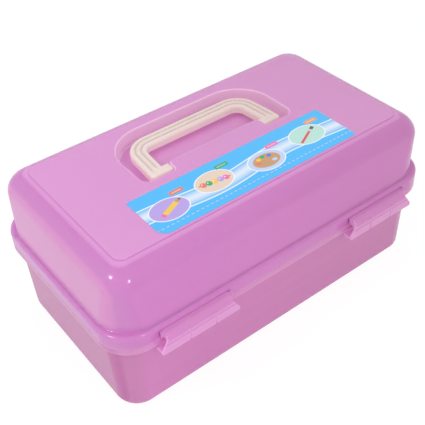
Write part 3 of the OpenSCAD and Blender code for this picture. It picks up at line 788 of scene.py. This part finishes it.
# %% Finish
class Finish:
    """A procedural material with one Principled shader."""

    def __init__(self, name):
        self.material = bpy.data.materials.new(name)
        self.material.use_nodes = True
        self.tree = self.material.node_tree
        self.tree.nodes.clear()
        self.shader = self.node("ShaderNodeBsdfPrincipled")
        self.output = self.node("ShaderNodeOutputMaterial", Surface=self.shader.outputs[0])

    def node(self, kind, settings=None, **inputs):
        """Adds a node, sets it up and feeds its sockets. Returns it."""
        made = self.tree.nodes.new(kind)
        for key, value in (settings or {}).items():
            setattr(made, key, value)
        self.feed_all(made, inputs)
        return made

    def feed(self, socket, value):
        """Links a wire or a socket, or sets a plain value."""
        if isinstance(value, Wire):
            self.tree.links.new(value.socket, socket)
        elif isinstance(value, bpy.types.NodeSocket):
            self.tree.links.new(value, socket)
        else:
            socket.default_value = value

    def feed_all(self, node, inputs):
        """Feeds sockets by name, with _ for a space."""
        for key, value in inputs.items():
            self.feed(node.inputs[key.replace("_", " ")], value)

    def set(self, **inputs):
        """Feeds the sockets of the Principled shader."""
        self.feed_all(self.shader, inputs)

    def place(self):
        """Object coordinates, in metres."""
        return self.node("ShaderNodeTexCoord").outputs["Object"]

    def split(self, vector):
        """The three parts of a vector, as wires."""
        parts = self.node("ShaderNodeSeparateXYZ", Vector=vector).outputs
        return [Wire(self.tree, part) for part in parts]

    def noise(self, scale, place=None):
        """Soft noise from 0 to 1."""
        made = self.node("ShaderNodeTexNoise", Scale=scale, Detail=2.0, Vector=place or self.place())
        return Wire(self.tree, made.outputs[0])

    def blend(self, factor, low, high, mode="MIX"):
        """Mixes two colours."""
        made = self.node("ShaderNodeMix", {"data_type": "RGBA", "blend_type": mode})
        self.feed(made.inputs[0], factor)
        for index, colour in ((6, low), (7, high)):
            self.feed(made.inputs[index], (*colour, 1.0) if isinstance(colour, tuple) else colour)
        return made.outputs[2]

    def bump(self, height, strength, distance):
        """Lets a height move the shading normal."""
        made = self.node("ShaderNodeBump", Strength=strength, Distance=distance, Height=height)
        self.set(Normal=made.outputs[0])


def srgb(red, green, blue):
    """Linear colour from the 0 to 255 values of a colour picker."""
    shares = (red / 255, green / 255, blue / 255)
    return tuple(c / 12.92 if c <= 0.04045 else ((c + 0.055) / 1.055) ** 2.4 for c in shares)


print("shader helpers ready")

# %% [markdown]
# ### Milky plastic
# Pink polypropylene lets light in, scatters it and gives it back tinted. Subsurface scattering does
# that near the surface. A faint glow of the same tint is painted light, since the plastic is no lamp:
# it lifts the shade in creases and hollows. Light and shade are also painted into the colour by the
# way a surface faces: flat walls get paler, lit tints, and where the sheet curves, at shoulder,
# corners and ledge, it gets a deeper violet, shaded tint. The surface normal picks the tint.

# %% Milky tints: painted light and shade by facing
LEDGE_BLEND = (LEDGE_Z - 0.7, LEDGE_Z + 1.3)
PANEL_BLEND = (TOP - 22, TOP - 16)
POCKET_HALF_X, POCKET_HALF_Y, POCKET_BLEND = POCKET_X + 3.5, POCKET_BACK + 4, 2
# a paler tint on the pocket's walls is painted light that lifts their shade
POCKET_PAINTED_LIGHT = srgb(240, 194, 230)
# pale bands of painted highlight along thin edges
HIGHLIGHT_TINT, EDGE_BLEND = srgb(246, 200, 240), 0.4


def inside(coordinate, half, soft):
    """1 within a distance from the middle of the box, 0 past it."""
    return abs(coordinate).smooth(half + soft, half - soft)


def painted_facing_light(finish, tints, lid, edges):
    """Painted light and shade by the way a surface faces, before the painted shade along the box."""
    x, y, z = (axis / MM for axis in finish.split(finish.place()))
    normal = finish.node("ShaderNodeTexCoord").outputs["Normal"]
    facing_x, facing_y, facing_z = (abs(part) for part in finish.split(normal))
    end = facing_x.smooth(0.74, 0.86)
    front = facing_y.smooth(0.95, 0.985)
    level = facing_z.smooth(0.95, 0.985)
    if lid:
        end = end * z.smooth(*LEDGE_BLEND)
        level = level * z.smooth(*PANEL_BLEND)
    # painted light and shade: curved, end, front and level faces each get a lit or shaded tint
    tint = finish.blend(facing_x.smooth(0.25, 0.75), tints["curved"], tints["curved_end"])
    tint = finish.blend(front, tint, tints["front"])
    tint = finish.blend(end, tint, tints["end"])
    if lid:
        # painted light inside the handle pocket
        pocket = inside(y, POCKET_HALF_Y, POCKET_BLEND) * inside(x, POCKET_HALF_X, POCKET_BLEND)
        tint = finish.blend(pocket * z.smooth(*PANEL_BLEND), tint, POCKET_PAINTED_LIGHT)
    tint = finish.blend(level, tint, tints["level"])
    # painted highlight bands along the thin edges of rim and skirt
    for low, high, strength in edges:
        edge = z.smooth(low - EDGE_BLEND, low) * z.smooth(high + EDGE_BLEND, high)
        tint = finish.blend(edge * strength, tint, HIGHLIGHT_TINT)
    return tint


print("lid tints change at", [round(z, 1) for z in LEDGE_BLEND + PANEL_BLEND])

# %% [markdown]
# The colour darkens slowly from the left end of the box to the right, as painted shade away from the
# light at the left. Two noises break it up: clouds, a tone that differs at random, and flat streaks,
# painted reflections of bands of light. A thin coat gives the sharp highlights, over a body that is a
# little rougher.

# %% Milky plastic
# painted shade towards the right, random tone and painted reflection streaks all multiply by this colour
SHADE_AND_TONE_TINT = (0.80, 0.81, 0.74)
SHADE_START, SHADE_LENGTH = -0.15, 0.3
STREAK_SCALE = (5.0, 5.0, 90.0)


def milky(name, tints, rough, painted_glow=0.16, lid=False, edges=()):
    """Translucent plastic. tints names five lit and shaded colours, painted by the way a surface faces.

    edges are painted highlight bands: lowest and highest z in millimetres, and strength."""
    finish = Finish(name)
    tint = painted_facing_light(finish, tints, lid, edges)
    stretched = finish.node("ShaderNodeVectorMath", {"operation": "MULTIPLY"})
    finish.feed(stretched.inputs[0], finish.place())
    finish.feed(stretched.inputs[1], STREAK_SCALE)
    # painted shade: darker towards the right end of the box
    along_box = (finish.split(finish.place())[0] - SHADE_START) / SHADE_LENGTH
    # painted reflections: soft streaks along the box
    streaks = finish.noise(1.0, stretched.outputs[0])
    painted_shade_and_tone = along_box.clamped() * 0.75 + finish.noise(9.0) * 0.2 + streaks * 0.4 - 0.2
    colour = finish.blend(painted_shade_and_tone, tint, SHADE_AND_TONE_TINT, "MULTIPLY")
    finish.set(
        Base_Color=colour,
        Emission_Color=colour,
        # painted glow of the tint: the plastic is no lamp, and the glow lifts shade in creases and
        # hollows
        Emission_Strength=painted_glow,
        Roughness=finish.noise(60.0) * 0.06 + rough,
        Subsurface_Weight=0.6,
        Subsurface_Scale=0.007,
        Subsurface_Radius=(1.0, 0.7, 1.0),
        Coat_Weight=0.25,
        Coat_Roughness=0.06,
        IOR=1.5,
    )
    finish.bump(finish.noise(300.0), 0.03, 0.0004)
    return finish.material


def dress(piece, material):
    """Gives every face of a piece the same material."""
    piece.data.materials.clear()
    piece.data.materials.append(material)


print("drift tint", SHADE_AND_TONE_TINT)

# %% [markdown]
# Lid, latches, tub and trays are four mouldings of the same plastic. Each has its own set of lit
# and shaded tints, so the painted light and shade differ a little from piece to piece. The lip of the
# tub's rim and the foot of the lid's skirt are thin edges, and a pale band of painted highlight marks
# them.

# %% Four mouldings
# lit and shaded tints of one plastic, painted by the way a surface faces
lid_tints = {
    "level": srgb(224, 156, 215), "end": srgb(219, 146, 202), "front": srgb(213, 130, 201),
    "curved": srgb(207, 130, 197), "curved_end": srgb(207, 136, 199),
}
latch_tints = {
    "level": srgb(218, 144, 206), "end": srgb(232, 172, 224), "front": srgb(221, 151, 208),
    "curved": srgb(206, 134, 194), "curved_end": srgb(222, 160, 212),
}
tub_tints = {
    "level": srgb(220, 148, 200), "end": srgb(190, 102, 165), "front": srgb(210, 128, 190),
    "curved": srgb(205, 130, 182), "curved_end": srgb(200, 124, 178),
}
tray_tints = {
    "level": srgb(230, 172, 224), "end": srgb(224, 162, 218), "front": srgb(224, 162, 218),
    "curved": srgb(218, 156, 212), "curved_end": srgb(218, 156, 212),
}
lip_low = TUB_H - LIP_H
# painted highlight bands on the lip of the tub's rim and the foot of the lid's skirt
lip_highlights = ((lip_low, TUB_H, 0.18), (lip_low, lip_low + 0.7, 0.08))
skirt_highlights = ((LID_Z0, LID_Z0 + 0.7, 0.3),)
lid_pink = milky("milky_pink_lid", lid_tints, rough=0.16, lid=True, edges=skirt_highlights)
# a stronger painted glow lifts the shaded ends of the latches
latch_pink = milky("milky_pink_latch", latch_tints, rough=0.2, painted_glow=0.24)
tub_pink = milky("milky_pink_tub", tub_tints, rough=0.2, edges=lip_highlights)
tray_pink = milky("milky_pink_tray", tray_tints, rough=0.3)

dress(tub_shell, tub_pink)
dress(lid_shell, lid_pink)
for flap in latch_flaps:
    dress(flap, latch_pink)
for node in ("lower_tray", "upper_tray"):
    dress(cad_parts[node], tray_pink)
print("milky plastic on tub, lid, latches and trays")

# %% [markdown]
# ### Pearl cream
# The handle is cream plastic with pearl flakes: small cells catch the light one by one. Painted
# shade darkens the grooves between its ridges, and more painted shade deepens the tone towards the right.

# %% Pearl cream
FLAKE_SCALE = 1400.0
CREAM, CREAM_SHADE, PEARL = srgb(234, 218, 212), srgb(196, 168, 164), srgb(250, 242, 236)

cream = Finish("pearl_cream")
flakes = cream.node("ShaderNodeTexVoronoi", Scale=FLAKE_SCALE, Vector=cream.place())
cell = cream.node("ShaderNodeSeparateColor", Color=flakes.outputs["Color"])
spark = Wire(cream.tree, cell.outputs[0]).smooth(0.86, 0.97)
# groove depth, which sets the painted shade in the grooves
groove = cream.node("ShaderNodeAttribute", {"attribute_name": "groove"})
sunk = Wire(cream.tree, groove.outputs["Fac"])
# painted shade, darker towards the right
shade = (cream.split(cream.place())[0] / 0.12 + 0.5).clamped() * 0.3
shaded_cream = cream.blend(sunk * 0.6 + shade, CREAM, CREAM_SHADE)
cream_tone = cream.blend(spark * 0.35, shaded_cream, PEARL)
cream.set(
    Base_Color=cream_tone,
    # a faint painted glow, though the handle is no lamp
    Emission_Color=cream_tone,
    Emission_Strength=0.15,
    Roughness=0.22 - spark * 0.08,
    Coat_Weight=0.6,
    Coat_Roughness=0.05,
    Subsurface_Weight=0.5,
    Subsurface_Scale=0.006,
    Subsurface_Radius=(1.0, 0.75, 0.8),
    IOR=1.5,
)
dress(handle_bar, cream.material)
print("pearl cream:", len(cream.tree.nodes), "nodes")

# %% [markdown]
# ### White and clear plastic, steel
# Link arms and caps are plain white plastic, the dividers are frosted clear, and the hinge pins are
# steel. Each has a soft noise in its colour and its gloss, as no real surface is quite even.

# %% White, clear and steel
white = Finish("white_plastic")
white.set(
    Base_Color=white.blend(white.noise(25.0), srgb(238, 238, 236), srgb(246, 246, 244)),
    Roughness=white.noise(80.0) * 0.1 + 0.3,
    IOR=1.5,
)
frosted = Finish("frosted_clear")
frosted.set(
    Base_Color=frosted.blend(frosted.noise(40.0), srgb(228, 228, 236), srgb(240, 240, 246)),
    Roughness=frosted.noise(120.0) * 0.1 + 0.3,
    Transmission_Weight=0.4,
    IOR=1.45,
)
steel = Finish("drawn_steel")
grain = steel.noise(900.0)
steel.set(
    Base_Color=steel.blend(grain, srgb(168, 168, 172), srgb(196, 196, 200)),
    Metallic=1.0,
    Roughness=grain * 0.2 + 0.25,
)
for node in ("arm_left", "arm_right", "tub_peg_caps", "lower_tray_caps", "upper_tray_caps"):
    dress(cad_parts[node], white.material)
for node in ("hinge_pin_left", "hinge_pin_right"):
    dress(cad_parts[node], steel.material)
for node in sorted(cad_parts):
    if "divider" in node:
        dress(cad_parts[node], frosted.material)
print("finishes:", len(bpy.data.materials))

# %% [markdown]
# ### Printed label
# The label is a film stuck on the panel. Its print is made of two shapes, an oval and a bar, painted
# one over another. Both work out how far a point lies inside them, in millimetres, so every edge is
# equally sharp.

# %% Ink
INK_EDGE = 0.35
DARK, WHITE, CORAL, GREEN = (96, 90, 110), (250, 250, 252), (240, 128, 104), (60, 178, 122)
PINK, ORANGE, YELLOW, LILAC = (246, 120, 184), (250, 160, 84), (250, 206, 84), (190, 168, 236)
SAND, PALE, MINT, WOOD = (236, 214, 196), (196, 216, 250), (190, 232, 222), (206, 160, 116)
RED, SILVER, BLUE = (226, 92, 92), (206, 208, 214), (90, 130, 230)


class Ink(Finish):
    """A film that shapes are printed on, one over another."""

    def __init__(self, name, film_colour):
        super().__init__(name)
        self.u, self.v, _ = (axis / MM for axis in self.split(self.place()))
        self.colour = film_colour

    def paint(self, reach, colour, strength=1.0):
        """Paints where reach, a distance inwards in millimetres, is above zero."""
        cover = (reach / INK_EDGE + 0.5).clamped() * strength
        self.colour = self.blend(cover, self.colour, srgb(*colour))

    def oval(self, u, v, half_u, half_v, colour, strength=1.0):
        """An oval round (u, v)."""
        across, up = (self.u - u) / half_u, (self.v - v) / half_v
        away = (across * across + up * up).math("SQRT")
        self.paint((1.0 - away) * min(half_u, half_v), colour, strength)

    def bar(self, u, v, half_u, half_v, colour, turn=0.0, strength=1.0):
        """A bar round (u, v), turned by an angle in degrees."""
        cosine, sine = math.cos(math.radians(turn)), math.sin(math.radians(turn))
        across = (self.u - u) * cosine + (self.v - v) * sine
        up = (self.v - v) * cosine - (self.u - u) * sine
        self.paint((half_u - abs(across)).math("MINIMUM", half_v - abs(up)), colour, strength)


print("two shapes to print with")

# %% [markdown]
# The film is sky blue. A pale band waves along it between two white lines, and gets lighter towards
# its middle in soft steps. Four framed ovals sit on the band.

# %% Label: band and frames
WAVE_V, WAVE_H, WAVE_TURN = -44.0, 3.0, 0.045
BAND_HALF, LINE_HALF = 8.5, 0.5
FRAME_U, FRAME_V, FRAME_W = 17.5, 12.5, 0.9

film = Ink("printed_film", srgb(84, 192, 255))
wave = film.v - (film.u * WAVE_TURN).math("SINE") * WAVE_H - WAVE_V
from_line = BAND_HALF - abs(wave)
film.paint(from_line, (150, 206, 250), 0.9)
for half, strength in ((5.5, 0.35), (3.5, 0.45), (1.6, 0.5)):
    film.paint(half - abs(wave), (240, 244, 255), strength)
film.paint(LINE_HALF - abs(from_line), (250, 252, 255))
for u, v, fill in ((-80, -45, LILAC), (-34, -40, SAND), (14, -46, PALE), (62, -41, MINT)):
    film.oval(u, v, FRAME_U, FRAME_V, WHITE)
    film.oval(u, v, FRAME_U - FRAME_W, FRAME_V - FRAME_W, fill)
print("label:", len(film.tree.nodes), "nodes for the band")

# %% [markdown]
# Each frame holds a simple picture of a craft supply: a pencil, beads on a string, a palette and a
# brush. All are ovals and bars. Four plain tags and a row of stitches along the front edge finish
# the design.

# %% Label: pictures, tags and stitches
PENCIL_TURN, STRING_TURN, BRUSH_TURN = 24, -8, 28
BEAD_STEP, BEAD_SINK = 5, 0.7
STITCH_STEP, STITCH_HALF, STITCH_V = 4.5, 1.2, -60.5
STITCH_THICK = 0.45

# pencil: body, rubber, cone and lead
film.bar(-79, -45, 9, 2.2, YELLOW, PENCIL_TURN)
film.bar(-87.6, -48.8, 1.6, 2.2, PINK, PENCIL_TURN)
film.bar(-69.2, -40.6, 2.2, 1.5, WOOD, PENCIL_TURN)
film.bar(-67.4, -39.8, 0.9, 0.8, DARK, PENCIL_TURN)
# beads on a string, each with a small light
film.bar(-34, -40.5, 14, 0.4, DARK, STRING_TURN)
for step, colour in enumerate((CORAL, GREEN, YELLOW, LILAC, PINK)):
    film.oval(-44 + BEAD_STEP * step, -39.2 - BEAD_SINK * step, 2.6, 3.0, colour)
    film.oval(-44.6 + BEAD_STEP * step, -38.2 - BEAD_SINK * step, 0.7, 0.8, WHITE, 0.8)
# palette: board, thumb hole and four dabs
film.oval(14, -46, 12.5, 8.2, WOOD)
film.oval(20, -49, 2.4, 1.8, PALE)
for u, v, colour in ((6, -46, CORAL), (9, -42, YELLOW), (14, -40.6, GREEN), (19.5, -42.2, BLUE)):
    film.oval(u, v, 2.2, 1.8, colour)
# brush: handle, sleeve and hair
film.bar(59, -43, 9.5, 1.1, RED, BRUSH_TURN)
film.bar(68.4, -38, 1.9, 1.7, SILVER, BRUSH_TURN)
film.bar(71.6, -36.3, 2.0, 1.5, DARK, BRUSH_TURN)
# tags
for u, v, colour in ((-64, -31, CORAL), (-18, -28, GREEN), (30, -33, PINK), (78, -28, ORANGE)):
    film.bar(u, v, 6.2, 2.2, colour)
    film.bar(u, v, 4.4, 0.35, WHITE, strength=0.7)
# stitches
from_stitch = abs((film.u / STITCH_STEP).math("FRACT") - 0.5) * STITCH_STEP
from_row = abs(film.v - STITCH_V)
stitch = (STITCH_HALF - from_stitch).math("MINIMUM", STITCH_THICK - from_row)
film.paint(stitch, (206, 206, 236), 0.8)

film.set(
    Base_Color=film.colour,
    # a faint painted glow, though the film is no lamp
    Emission_Color=film.colour,
    Emission_Strength=0.12,
    Roughness=film.noise(30.0) * 0.06 + 0.2,
    IOR=1.5,
)
dress(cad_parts["label"], film.material)
print("label:", len(film.tree.nodes), "nodes")

# %% [markdown]
# ## Studio
# The box stands on a large sheet of pale paper, lifted towards white by a glow. The camera and clear
# plastic see the glow in full and reflections see half of it, but it adds no soft light to the box,
# and the soft shadow under the box stays.

# %% Paper floor
FLOOR_SIZE, FLOOR_Z = 6.0, -0.0002
PAPER_GREY, PAPER_LIFT, PAPER_GLOW = 0.8, 0.8, 1.12

bm = bmesh.new()
bmesh.ops.create_grid(bm, x_segments=1, y_segments=1, size=FLOOR_SIZE)
floor_mesh = bpy.data.meshes.new("floor")
bm.to_mesh(floor_mesh)
bm.free()
floor = bpy.data.objects.new("floor", floor_mesh)
scene.collection.objects.link(floor)
floor.location.z = FLOOR_Z
floor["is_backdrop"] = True

paper = Finish("white_paper")
paper.set(Base_Color=(PAPER_GREY, PAPER_GREY, PAPER_GREY, 1.0), Roughness=0.9)
paths = paper.node("ShaderNodeLightPath").outputs
seen = Wire(paper.tree, paths["Is Camera Ray"])
for kind, share in (("Is Glossy Ray", 0.5), ("Is Transmission Ray", 1.0)):
    seen = seen.math("MAXIMUM", Wire(paper.tree, paths[kind]) * share)
white_glow = paper.node("ShaderNodeEmission", Color=(1, 1, 1, 1), Strength=PAPER_GLOW)
lift = paper.node("ShaderNodeMixShader")
paper.feed(lift.inputs[0], seen * PAPER_LIFT)
paper.feed(lift.inputs[1], paper.shader.outputs[0])
paper.feed(lift.inputs[2], white_glow.outputs[0])
paper.feed(paper.output.inputs["Surface"], lift.outputs[0])
floor.data.materials.append(paper.material)
print("floor at", FLOOR_Z)

# %% [markdown]
# A white world gives soft light from all round. Two round lamps, high up at the left and in front,
# stand where the shoulder of the lid mirrors them, and make its pair of small highlights.

# %% World and lamps
WORLD_STRENGTH = 0.68
LAMP_SIZE = 0.32
LAMP_AIM = Vector((0, 0, 0.07))

world = bpy.data.worlds.new("studio")
scene.world = world
world.use_nodes = True
background = world.node_tree.nodes["Background"]
background.inputs["Color"].default_value = (1, 1, 1, 1)
background.inputs["Strength"].default_value = WORLD_STRENGTH


def lamp(name, place, power):
    """A round lamp that looks at the box."""
    data = bpy.data.lights.new(name, "AREA")
    data.shape = "DISK"
    data.size = LAMP_SIZE
    data.energy = power
    made = bpy.data.objects.new(name, data)
    made.location = place
    made.rotation_mode = "QUATERNION"
    made.rotation_quaternion = (LAMP_AIM - Vector(place)).to_track_quat("-Z", "Y")
    scene.collection.objects.link(made)


lamp("lamp_left", (-1.22, 0.1, 1.46), 4.8)
lamp("lamp_front", (-0.01, -1.55, 1.17), 5.0)

# %% [markdown]
# ## Camera
# The camera looks down on the front left corner. Its place is given by the two angles, the distance
# and the point it looks at, and a small roll tilts it as a hand would.

# %% Camera
AZIMUTH, ELEVATION, ROLL = map(math.radians, (-35.99, 40.56, -2.81))
DISTANCE = 0.70656
TARGET = Vector((0.00111, 0.01279, 0.060))
FOCAL_PIXELS, IMAGE_PIXELS, SENSOR = 781.36, 425, 36.0

level_reach = math.cos(ELEVATION)
back = Vector((
    math.sin(AZIMUTH) * level_reach, -math.cos(AZIMUTH) * level_reach, math.sin(ELEVATION)
))
right = (-back).cross(Vector((0, 0, 1))).normalized()
up = right.cross(-back)
rolled_right = math.cos(ROLL) * right + math.sin(ROLL) * up
rolled_up = math.cos(ROLL) * up - math.sin(ROLL) * right
camera = bpy.data.objects.new("camera", bpy.data.cameras.new("camera"))
camera.data.sensor_width = SENSOR
camera.data.lens = FOCAL_PIXELS * SENSOR / IMAGE_PIXELS
camera.matrix_world = Matrix((rolled_right, rolled_up, back)).transposed().to_4x4()
camera.location = TARGET + back * DISTANCE
scene.collection.objects.link(camera)
scene.camera = camera
print("camera at", [round(c, 3) for c in camera.location], "lens", round(camera.data.lens, 2))

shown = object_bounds()
for label, box in (("CAD box", cad_box), ("shown box", shown)):
    print(label, [[round(c, 4) for c in corner] for corner in box])
